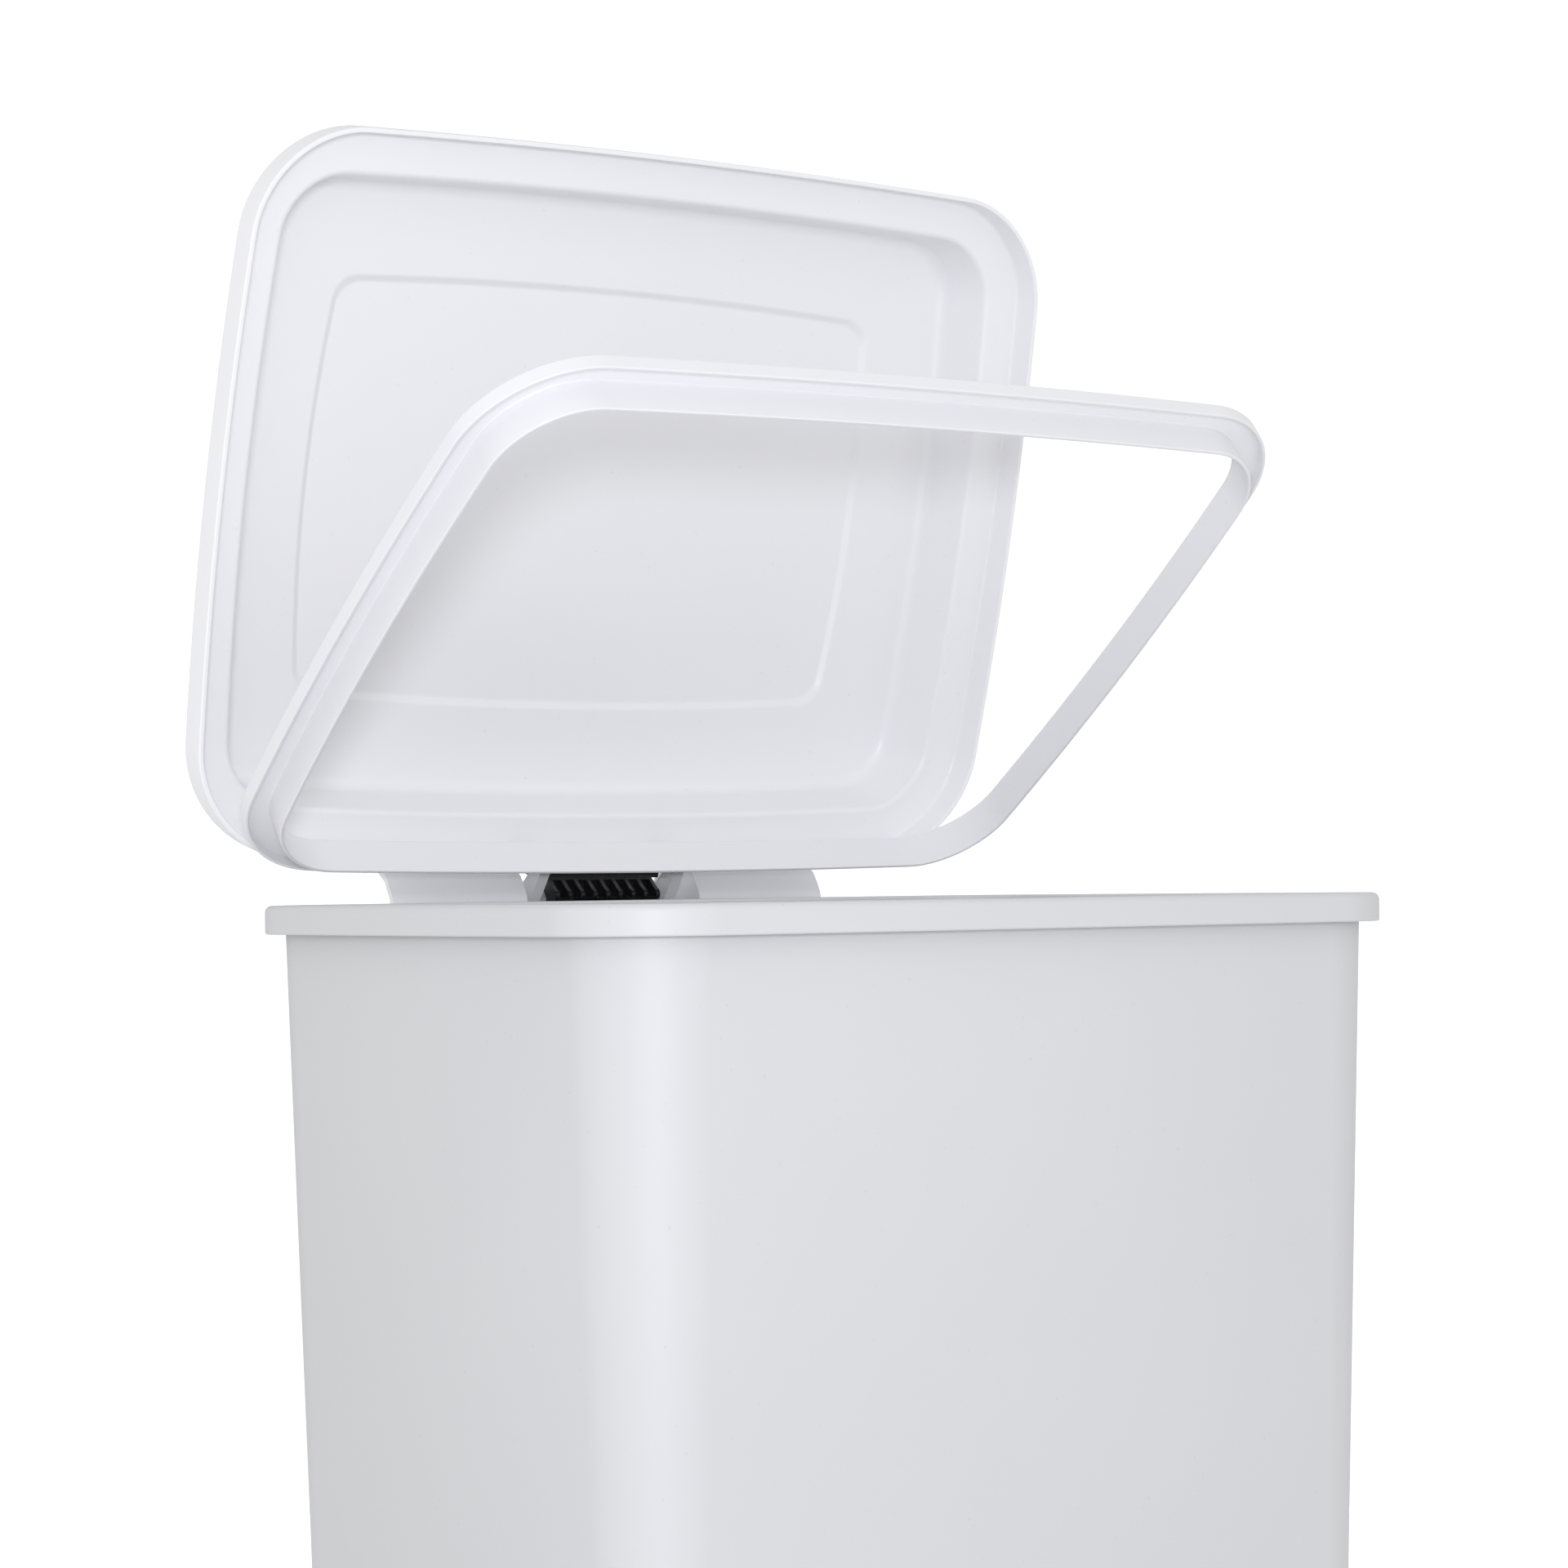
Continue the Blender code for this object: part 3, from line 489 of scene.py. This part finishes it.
def screw(name, start, direction, body, length, size, node):
    """A pan head screw with a cross recess, its head bearing at start."""
    shank, head = size.shank, size.head
    thick = 0.6 * head
    dome = [(0.02 * head, -thick)]
    dome += [(head * math.sin(math.radians(a)), -thick * (0.25 + 0.75 * math.cos(math.radians(a))))
             for a in (25, 40, 55, 70, 82, 90)]
    threads = []
    pitch = max(0.0007, 0.4 * shank)
    along = 2 * pitch
    while along < length - 2 * shank:
        threads += [(shank, along), (0.8 * shank, along + 0.5 * pitch)]
        along += pitch
    stations = [*dome, (head, -0.0001), (shank, 0), *threads, (0.8 * shank, length - shank),
                (0.2 * shank, length)]
    turn = Vector((0, 0, 1)).rotation_difference(Vector(direction)).to_matrix().to_4x4()
    changes = []
    for angle in (CROSS_TURN, CROSS_TURN + math.pi / 2):
        slot = box(-0.5 * head, 0.5 * head, -0.09 * head, 0.09 * head, -1.2 * thick, -0.45 * thick)
        spin = Matrix.Translation(start) @ turn @ Matrix.Rotation(angle, 4, "Z")
        bmesh.ops.transform(slot, matrix=spin, verts=slot.verts)
        changes.append(("DIFFERENCE", slot))
    piece(name, shaped(turned(stations, start, direction, 28), changes), body,
          STEEL_LONG, [node], 30)


def feet():
    section = rounded([(2.4, 3.6, 0.2), (5.2, 3.6, 0.3), (5.2, 0, 0.4), (16.2, 0, 1.2), (17, 3, 1),
                       (16.2, 7.7, 0.8), (2.4, 7.7, 0.2)], closed=True)
    for word, x, y in FEET:
        mesh = shaped(turned(section, (x, y, 0), sides=56, hollow=True))
        piece(f"rubber_foot_{word}", mesh, "body", FOOT_RUBBER, [f"foot_{word}"])
        screw(f"foot_fixing_{word}", (x, y, 0.0033), (0, 0, 1), "body", 0.026, LARGE_SCREW,
              f"foot_screw_{word}")


def tower_section(wall, bottom):
    """The tower's outline seen from its end, or the outline a wall's thickness inside it."""
    front = rear_wall(RIM_UNDERSIDE) + GAP + wall
    ledge = RIM_UNDERSIDE - LEDGE_DROP - wall
    radius = TOWER_RADIUS - wall
    return [(front, bottom), (front, ledge), (HINGE_Y - radius, ledge),
            *arc(HINGE_Y, HINGE_Z, radius, 180, 0, 32), (HINGE_Y + radius, bottom)]


def wing_section():
    """A thin upright wall that hooks over the ledge and leans back inside the lid's sweep."""
    y, z, bottom, wall = HINGE_Y / MM, HINGE_Z / MM, TOWER_BOTTOM / MM, WING_WALL / MM
    front = (rear_wall(RIM_UNDERSIDE) + GAP) / MM
    ledge = (RIM_UNDERSIDE - LEDGE_DROP) / MM
    face = y - TOWER_RADIUS / MM
    outside = [(face, z + 7, 9), (y - 17.7, z + 17.4, 9), (y - 9.3, z + 23, 0.8)]
    inside = [(y - 8.2, z + 20.2, 0.8), (y - 15.5, z + 15.3, 6), (face + wall, z + 6.2, 6)]
    return rounded([(front, bottom, 0.4), (front, ledge, 0.6), (face, ledge, 1.2),
                    *outside, *inside, (face + wall, ledge - wall, 2),
                    (front + wall, ledge - wall, 2), (front + wall, bottom, 0.4)], closed=True)


def tower_moulding():
    wings = prism(wing_section(), -WING_HALF, WING_HALF)
    changes = [("UNION", wings)]
    inner = tower_section(TOWER_WALL, TOWER_BOTTOM - 0.010)
    for side in (-1, 1):
        hollow = prism(inner, side * (RECESS_HALF + TOWER_WALL), side * (TOWER_HALF - TOWER_WALL))
        changes.append(("DIFFERENCE", hollow))
    recess = box(-RECESS_HALF, RECESS_HALF, rear_wall(TOWER_BOTTOM) - 0.009,
                 HINGE_Y + TOWER_RADIUS - TOWER_WALL, RECESS_FLOOR, RIM_TOP + 0.040)
    changes.append(("DIFFERENCE", recess))
    changes.append(hole((-PIN_HALF, HINGE_Y, HINGE_Z), (1, 0, 0), PIN_RADIUS + GAP, 2 * PIN_HALF))
    changes.append(hole((0, ROD_Y, TOWER_BOTTOM), (0, 0, 1), 0.0053, 0.012))
    for word, x, height in TOWER_SCREWS:
        inner_y = rear_wall(height) - 0.005
        changes.append(hole((x, inner_y, height), (0, 1, 0), LARGE_SCREW.hole, 0.014))
        start = (x, rear_wall(height, x) - WALL - 1.5 * GAP, height)
        screw(f"tower_fixing_{word}", start, (0, 1, 0), "body", 0.012, LARGE_SCREW,
              f"tower_screw_{word}")
    outer = solid(prism(tower_section(0, TOWER_BOTTOM), -TOWER_HALF, TOWER_HALF))
    bevel = outer.modifiers.new("ends", "BEVEL")
    bevel.width = 0.005
    bevel.segments = 6
    bevel.limit_method = "ANGLE"
    bevel.angle_limit = math.radians(50)
    bpy.context.view_layer.update()
    bm = bmesh.new()
    bm.from_object(outer, bpy.context.evaluated_depsgraph_get())
    bpy.data.objects.remove(outer, do_unlink=True)
    piece("tower_moulding", shaped(bm, changes, 0.0005, 2, 50), "body", TOWER_WHITE_PAINTED_LIGHT,
          ["hinge_tower"])


def channel_cover():
    bottom, top, back, wall = SKIRT_BOTTOM + 0.002, CHANNEL_TOP, CHANNEL_BACK, CHANNEL_WALL
    near, far = rear_wall(bottom) + GAP, rear_wall(top) + GAP
    trunk = prism([(near, bottom), (far, top), (back, top), (back, bottom)],
                  -CHANNEL_HALF, CHANNEL_HALF)
    flanges = prism([(near, bottom), (far, top), (far + wall, top), (near + wall, bottom)],
                    -CHANNEL_FLANGE_HALF, CHANNEL_FLANGE_HALF)
    inside = prism([(near - 0.004, bottom - 0.004), (far - 0.004, top + 0.004),
                    (back - wall, top + 0.004), (back - wall, bottom - 0.004)],
                   wall - CHANNEL_HALF, CHANNEL_HALF - wall)
    changes = [("UNION", flanges), ("DIFFERENCE", inside)]
    for word, x, height in CHANNEL_SCREWS:
        face = rear_wall(height) + GAP + wall
        changes.append(hole((x, face + 0.002, height), (0, -1, 0), CHANNEL_SCREW.hole, 0.009))
        screw(f"channel_fixing_{word}", (x, face + 1.3 * GAP, height), (0, -1, 0), "body", 0.007,
              CHANNEL_SCREW, f"channel_screw_{word}")
    piece("channel_cover", shaped(trunk, changes, 0.0009, 3, 50), "body", BODY_WHITE_PAINTED_SHADE,
          ["rod_channel"])


# ---------------------------------------------------------------- pins, rod and pedal

def round_bar(name, radius, first, last, start, direction, body, material, node):
    """A round bar with chamfered ends."""
    edge = 0.0006
    stations = [(radius - edge, first), (radius - 0.3 * edge, first + 0.3 * edge),
                (radius, first + edge), (radius, last - edge),
                (radius - 0.3 * edge, last - 0.3 * edge), (radius - edge, last)]
    piece(name, shaped(turned(stations, start, direction, 48)), body, material, [node], 50)


def clips(name, centre, distance, radius, body, node):
    """Push-on retaining washers at both ends of a pin."""
    inner, outer = (radius + GAP) / MM, (radius + 0.004) / MM
    section = rounded([(inner, 0, 0.1), (outer, 0, 0.2), (outer, 0.9, 0.2), (inner + 1, 1.6, 0.3),
                       (inner, 1.6, 0.1)], closed=True)
    for side, sign in (("left", -1), ("right", 1)):
        start = (centre[0] + sign * distance, centre[1], centre[2])
        mesh = shaped(turned(section, start, (sign, 0, 0), hollow=True))
        piece(f"{name}_{side}", mesh, body, STEEL_CROSS, [f"{node}_{side}"])


def rod_and_guide():
    shelf = (RECESS_FLOOR + GAP) / MM
    section = rounded([(3.3, 540, 0.3), (5, 540, 0.3), (5, shelf, 0.2), (8, shelf, 0.3),
                       (8, shelf + 2.2, 0.6), (3.3, shelf + 2.2, 0.4)], closed=True)
    guide = turned(section, (0, ROD_Y, 0), hollow=True)
    piece("guide_bush", shaped(guide), "body", PART_BLACK, ["rod_guide"])
    rise = (ROD_Y - AXLE_Y) * math.tan(PEDAL_SWING / 2)
    shoe = AXLE_Z + rise + LEVER_HALF_THICK + 2 * GAP
    nose_bottom = HINGE_Z + NOSE_REACH * math.sin(LID_OPEN - abs(NOSE_ANGLE)) - NOSE_RADIUS
    head = nose_bottom - 0.0015
    bottom, top = shoe + 0.006, head - 0.003
    round_bar("push_rod", ROD_RADIUS, bottom, top, (0, ROD_Y, 0), (0, 0, 1), "lift", STEEL_LONG,
              "lift_rod")
    stations = [(0.002, 0), (0.0045, 0.0003), (0.0063, 0.0014), (0.0077, 0.003), (0.008, 0.0045),
                (0.008, 0.0138), (0.0076, 0.0148), (0.006, 0.016)]
    socket = hole((0, ROD_Y, bottom + 0.012), (0, 0, -1), SOCKET_RADIUS, 0.012 + GAP)
    piece("push_shoe", shaped(turned(stations, (0, ROD_Y, shoe)), [socket]), "lift", PART_BLACK,
          ["rod_shoe"])
    plate = box(-0.014, 0.014, ROD_Y - 0.006, ROD_Y + 0.005, head - 0.008, head)
    socket = hole((0, ROD_Y, head - 0.009), (0, 0, 1), SOCKET_RADIUS, 0.006 + GAP)
    piece("push_head", shaped(plate, [socket], 0.0009, 3), "lift", PART_BLACK, ["rod_head"])


def pedal():
    half = LEVER_HALF_THICK
    plan = rounded([(-20, -238, 5), (20, -238, 5), (20, -20, 12), (12, 60, 12), (12, 172, 5),
                    (-12, 172, 5), (-12, 60, 12), (-20, -20, 12)], closed=True)
    strap = loft([[(p.x, p.y, z) for p in plan] for z in (-half, half)])
    hub = turned([(HUB_RADIUS, 0), (HUB_RADIUS, 2 * HUB_HALF)], (-HUB_HALF, 0, 0), (1, 0, 0), 48)
    changes = [("UNION", hub), hole((-0.031, 0, 0), (1, 0, 0), BUSH_RADIUS + GAP, 0.062)]
    screws = [("left", -TREAD_SCREW_X), ("right", TREAD_SCREW_X)]
    for _, x in screws:
        changes.append(hole((x, TREAD_Y, -half), (0, 0, 1), TREAD_SCREW.hole, 0.006))
    piece("steel_lever", shaped(strap, changes, 0.0005, 2), "pedal", STEEL_CROSS, ["pedal_lever"])
    bore = AXLE_RADIUS + GAP
    section = [(bore, 0), (BUSH_RADIUS, 0), (BUSH_RADIUS, 2 * HUB_HALF), (bore, 2 * HUB_HALF)]
    bush = turned(section, (-HUB_HALF, 0, 0), (1, 0, 0), 48, hollow=True)
    piece("pivot_bush", shaped(bush), "pedal", PART_BLACK, ["lever_bush"])

    plan = rounded([(-56, -242, 14), (56, -242, 14), (56, -172, 8), (-56, -172, 8)], closed=True)
    crown = [(0.0035, -0.006), (0.0012, -0.0052), (0.0002, -0.0032), (0, 0.004), (0.0003, 0.0066),
             (0.0013, 0.0082), (0.003, 0.009)]
    pad = loft([[(p.x * (1 - inset / TREAD_HALF_WIDTH),
                  (p.y - TREAD_Y) * (1 - inset / TREAD_HALF_DEPTH) + TREAD_Y, z) for p in plan]
                for inset, z in crown])
    changes = []
    for row in range(GROOVE_COUNT):
        front = FIRST_GROOVE + GROOVE_PITCH * row
        groove = [(front, 0.012), (front + 0.0006, 0.0079), (front + 0.0011, 0.0075),
                  (front + 0.0027, 0.0075), (front + 0.0032, 0.0079), (front + 0.0038, 0.012)]
        changes.append(("DIFFERENCE", prism(groove, -0.048, 0.048)))
    slot = box(-0.020 - GAP, 0.020 + GAP, -0.238 - GAP, -0.160, -half - GAP, half + GAP)
    changes.append(("DIFFERENCE", slot))
    for side, x in screws:
        changes += [hole((x, TREAD_Y, -0.010), (0, 0, 1), TREAD_SCREW.hole, 0.0142),
                    hole((x, TREAD_Y, -0.010), (0, 0, 1), TREAD_SCREW.head + 0.001, 0.0058)]
        screw(f"tread_fixing_{side}", (x, TREAD_Y, -0.0045), (0, 0, 1), "pedal", 0.0085,
              TREAD_SCREW, f"pedal_screw_{side}")
    piece("tread_moulding", shaped(pad, changes, 0.0003, 2, 50), "pedal", PART_BLACK, ["pedal_pad"])


# ---------------------------------------------------------------- lid, hinge block and ring

def lid_moulding():
    corners = [(92, 43, 0), (73.5, 43, 2.5), (70.4, 40.3, 2.5), (26.6, 38.6, 7), (22.4, 5.3, 3),
               (2.7, 5, 2), (2.4, -10, 0.6), (0, -10, 0.8), (0, 7.3, 3.4), (20.4, 7.7, 2.2),
               (24.3, 41, 8), (70.4, 42.8, 2.4), (73.2, 45.4, 2.4), (92, 45.4, 0)]
    shell = sweep(LID, corners, RIM_TOP - HINGE_Z, -HINGE_Y)
    wall = LID[1] - HINGE_Y
    reach = FLANGE_HALF - 0.0002
    changes = [("UNION", box(-reach, reach, wall - 0.0012, BOSS_FACE, -0.004, 0.0105))]
    for side in (-1, 1):
        notch = box(side * (FLANGE_HALF + 0.0002), side * (ARM_OUTER + 0.0026), wall - 0.004,
                    wall + 0.004, -0.020, 0.009)
        changes.append(("DIFFERENCE", notch))
    for x in (-BLOCK_SCREW_X, BLOCK_SCREW_X):
        changes.append(hole((x, BOSS_FACE, 0.007), (0, -1, 0), BLOCK_SCREW.hole, 0.0062))
    piece("lid_moulding", shaped(shell, changes), "lid", LID_WHITE_PAINTED_LIGHT, ["lid_shell"])


def hinge_casting():
    nose_y = -NOSE_REACH * math.cos(NOSE_ANGLE)
    nose_z = NOSE_REACH * math.sin(NOSE_ANGLE)
    root = FLANGE_FACE - 0.002
    flange = box(-FLANGE_HALF, FLANGE_HALF, BOSS_FACE + GAP, FLANGE_FACE, -0.004, 0.0105)
    apron = [(root, -0.0034), (root, 0.0006), (-0.013, -0.0015), (-0.0075, -0.007),
             *arc(nose_y, nose_z, NOSE_RADIUS, -10, -180, 14)]
    knuckle = [(root, -0.003), (root, 0.0032), *arc(0, 0, KNUCKLE_RADIUS, 150, -130, 32)]
    changes = [("UNION", prism(apron, -BLOCK_HALF, BLOCK_HALF)),
               ("UNION", prism(knuckle, -KNUCKLE_HALF, KNUCKLE_HALF))]
    groove = [(FLANGE_FACE + 0.0001, -0.0035), (-0.0125, -0.0055), (-0.010, -0.009),
              (-0.0095, -0.020), (FLANGE_FACE + 0.0001, -0.020)]
    pitch = (2 * BLOCK_HALF - RIB_WIDTH) / (RIB_COUNT - 1)
    for i in range(RIB_COUNT - 1):
        left = -BLOCK_HALF + RIB_WIDTH + i * pitch
        changes.append(("DIFFERENCE", prism(groove, left, left + pitch - RIB_WIDTH)))
    changes.append(hole((-PIN_HALF, 0, 0), (1, 0, 0), PIN_RADIUS + GAP, 2 * PIN_HALF))
    for side, x in (("left", -BLOCK_SCREW_X), ("right", BLOCK_SCREW_X)):
        changes.append(hole((x, FLANGE_FACE, 0.007), (0, -1, 0), BLOCK_SCREW.hole, 0.007))
        screw(f"block_fixing_{side}", (x, FLANGE_FACE + GAP, 0.007), (0, -1, 0), "lid", 0.0083,
              BLOCK_SCREW, f"block_screw_{side}")
    piece("hinge_casting", shaped(flange, changes, 0.0004, 2, 45), "lid", HINGE_BLACK,
          ["hinge_block"], 30)


def ring_moulding():
    corners = [(0, 4, 1.3), (14.8, 4, 1.5), (14.8, -15.6, 0.6), (13, -15.6, 0.6), (13, 1.6, 0.8),
               (1.8, 1.6, 0.6), (1.6, -4, 0.5), (0, -4, 0.6)]
    band = sweep(RING, corners, RIM_TOP - HINGE_Z, -HINGE_Y, closed=True)
    root = RING[1] - HINGE_Y - 0.0011
    arm = [(root, 0.0012), (root, 0.0074), *arc(0, 0, 0.008, 95, -130, 28)]
    changes = [("UNION", prism(arm, side * ARM_INNER, side * ARM_OUTER)) for side in (-1, 1)]
    changes.append(hole((-PIN_HALF, 0, 0), (1, 0, 0), PIN_RADIUS + GAP, 2 * PIN_HALF))
    piece("ring_moulding", shaped(band, changes), "ring", RING_WHITE_PAINTED_LIGHT, ["bag_ring"])


# ---------------------------------------------------------------- studio and camera

def floor_material():
    """Pale card with a painted glow that grows away from the bin, so that it meets the backdrop
    without a line.
    """
    n = Nodes("studio_floor_card")
    away = n.add("ShaderNodeVectorMath", operation="LENGTH")
    n.link(n.place, away.inputs[0])
    floor_glow = n.spread(away.outputs["Value"], 0, 1, 1.1, FLOOR_RADIUS)
    tone = n.blend(n.spread(n.noise(40, 4), 0, 1), (0.80, 0.80, 0.80), (0.82, 0.82, 0.82))
    n.surface(tone, n.spread(n.noise(300, 2), 0.6, 0.75), n.bump(n.noise(900, 2), 0.1, 0.0002))
    # painted light: the card glows, from none at 1.1 m to full at the floor's edge
    n.set(Emission_Color=(1, 1, 1, 1))
    n.link(n.combined("MULTIPLY", floor_glow, floor_glow), n.shader.inputs["Emission Strength"])
    return n.material


def stage_sheet(name, section, material):
    """A sheet turned round the upright axis, from (radius, height) stations."""
    turns = [math.tau * i / 96 for i in range(96)]
    bm = loft([[(r * math.cos(t), r * math.sin(t), z) for t in turns] for r, z in section])
    caps = [f for f in bm.faces if len(f.verts) > 4 and f.calc_area() > 1]
    bmesh.ops.delete(bm, geom=caps, context="FACES_ONLY")
    mesh = bpy.data.meshes.new(name)
    bm.to_mesh(mesh)
    bm.free()
    mesh.materials.append(material)
    sheet = bpy.data.objects.new(name, mesh)
    bpy.context.scene.collection.objects.link(sheet)
    return sheet


def studio():
    """A floor near the bin, and round it a white dome that only the camera sees."""
    stage_sheet("studio_floor", [(r, 0) for r in (CENTRE_RADIUS, 0.5, 1, 1.5, FLOOR_RADIUS)],
                floor_material())
    glow = Nodes("studio_backdrop")
    glow.set(Base_Color=(1, 1, 1, 1), Emission_Color=(1, 1, 1, 1), Emission_Strength=0.4)
    rise = [math.radians(a) for a in range(0, 88, 6)]
    dome = [(FLOOR_RADIUS, -0.001),
            *((DOME_RADIUS * math.cos(a), DOME_RADIUS * math.sin(a)) for a in rise),
            (CENTRE_RADIUS, DOME_RADIUS)]
    backdrop = stage_sheet("studio_backdrop", dome, glow.material)
    backdrop.visible_diffuse = False
    backdrop.visible_glossy = False
    backdrop.visible_shadow = False


def flash():
    """A small cool light just above the camera, aimed at the rim."""
    data = bpy.data.lights.new("flash", "AREA")
    data.shape = "DISK"
    data.size = 0.24
    data.energy = 10.2
    data.color = (0.97, 0.98, 1.05)
    place, target = Vector((-1.11, -1.49, 0.735)), Vector((0, 0, 0.62))
    obj = bpy.data.objects.new("flash", data)
    obj.location = place
    obj.rotation_mode = "QUATERNION"
    obj.rotation_quaternion = (target - place).to_track_quat("-Z", "Y")
    bpy.context.scene.collection.objects.link(obj)


def camera():
    """Just above the rim's height, at the bin's front left."""
    place = (-1.06898, -1.47655, 0.60830)
    heading, pitch, roll = math.radians(35.4526), math.radians(1.444), math.radians(-0.7002)
    forward = Vector((math.sin(heading) * math.cos(pitch), math.cos(heading) * math.cos(pitch),
                      math.sin(pitch)))
    level = Vector((math.cos(heading), -math.sin(heading), 0))
    upright = level.cross(forward)
    right = level * math.cos(roll) + upright * math.sin(roll)
    up = upright * math.cos(roll) - level * math.sin(roll)
    data = bpy.data.cameras.new("camera")
    data.lens, data.sensor_width = 88.89, 36
    obj = bpy.data.objects.new("camera", data)
    axes = Matrix((right, up, -forward)).transposed()
    obj.matrix_world = Matrix.Translation(place) @ axes.to_4x4()
    bpy.context.scene.collection.objects.link(obj)
    bpy.context.scene.camera = obj


def world():
    """A soft white room, equally bright all round."""
    room = bpy.data.worlds.new("soft_room")
    room.use_nodes = True
    backing = room.node_tree.nodes["Background"]
    backing.inputs["Color"].default_value = (1, 1, 1, 1)
    backing.inputs["Strength"].default_value = ROOM_LEVEL
    bpy.context.scene.world = room


body_moulding()
base_moulding()
feet()
tower_moulding()
channel_cover()
round_bar("lid_hinge_pin", PIN_RADIUS, -PIN_HALF, PIN_HALF, (0, HINGE_Y, HINGE_Z), (1, 0, 0),
          "body", STEEL_CROSS, "hinge_pin")
clips("pin_washer", (0, HINGE_Y, HINGE_Z), RECESS_HALF + TOWER_WALL + GAP, PIN_RADIUS, "body",
      "pin_clip")
round_bar("pedal_pivot_pin", AXLE_RADIUS, -AXLE_HALF, AXLE_HALF, (0, AXLE_Y, AXLE_Z), (1, 0, 0),
          "body", STEEL_CROSS, "pedal_axle")
clips("axle_washer", (0, AXLE_Y, AXLE_Z), LUG_OUTER + GAP, AXLE_RADIUS, "body", "axle_clip")
rod_and_guide()
pedal()
lid_moulding()
hinge_casting()
ring_moulding()

studio()
world()
camera()
flash()
bpy.context.scene.view_settings.view_transform = "Standard"
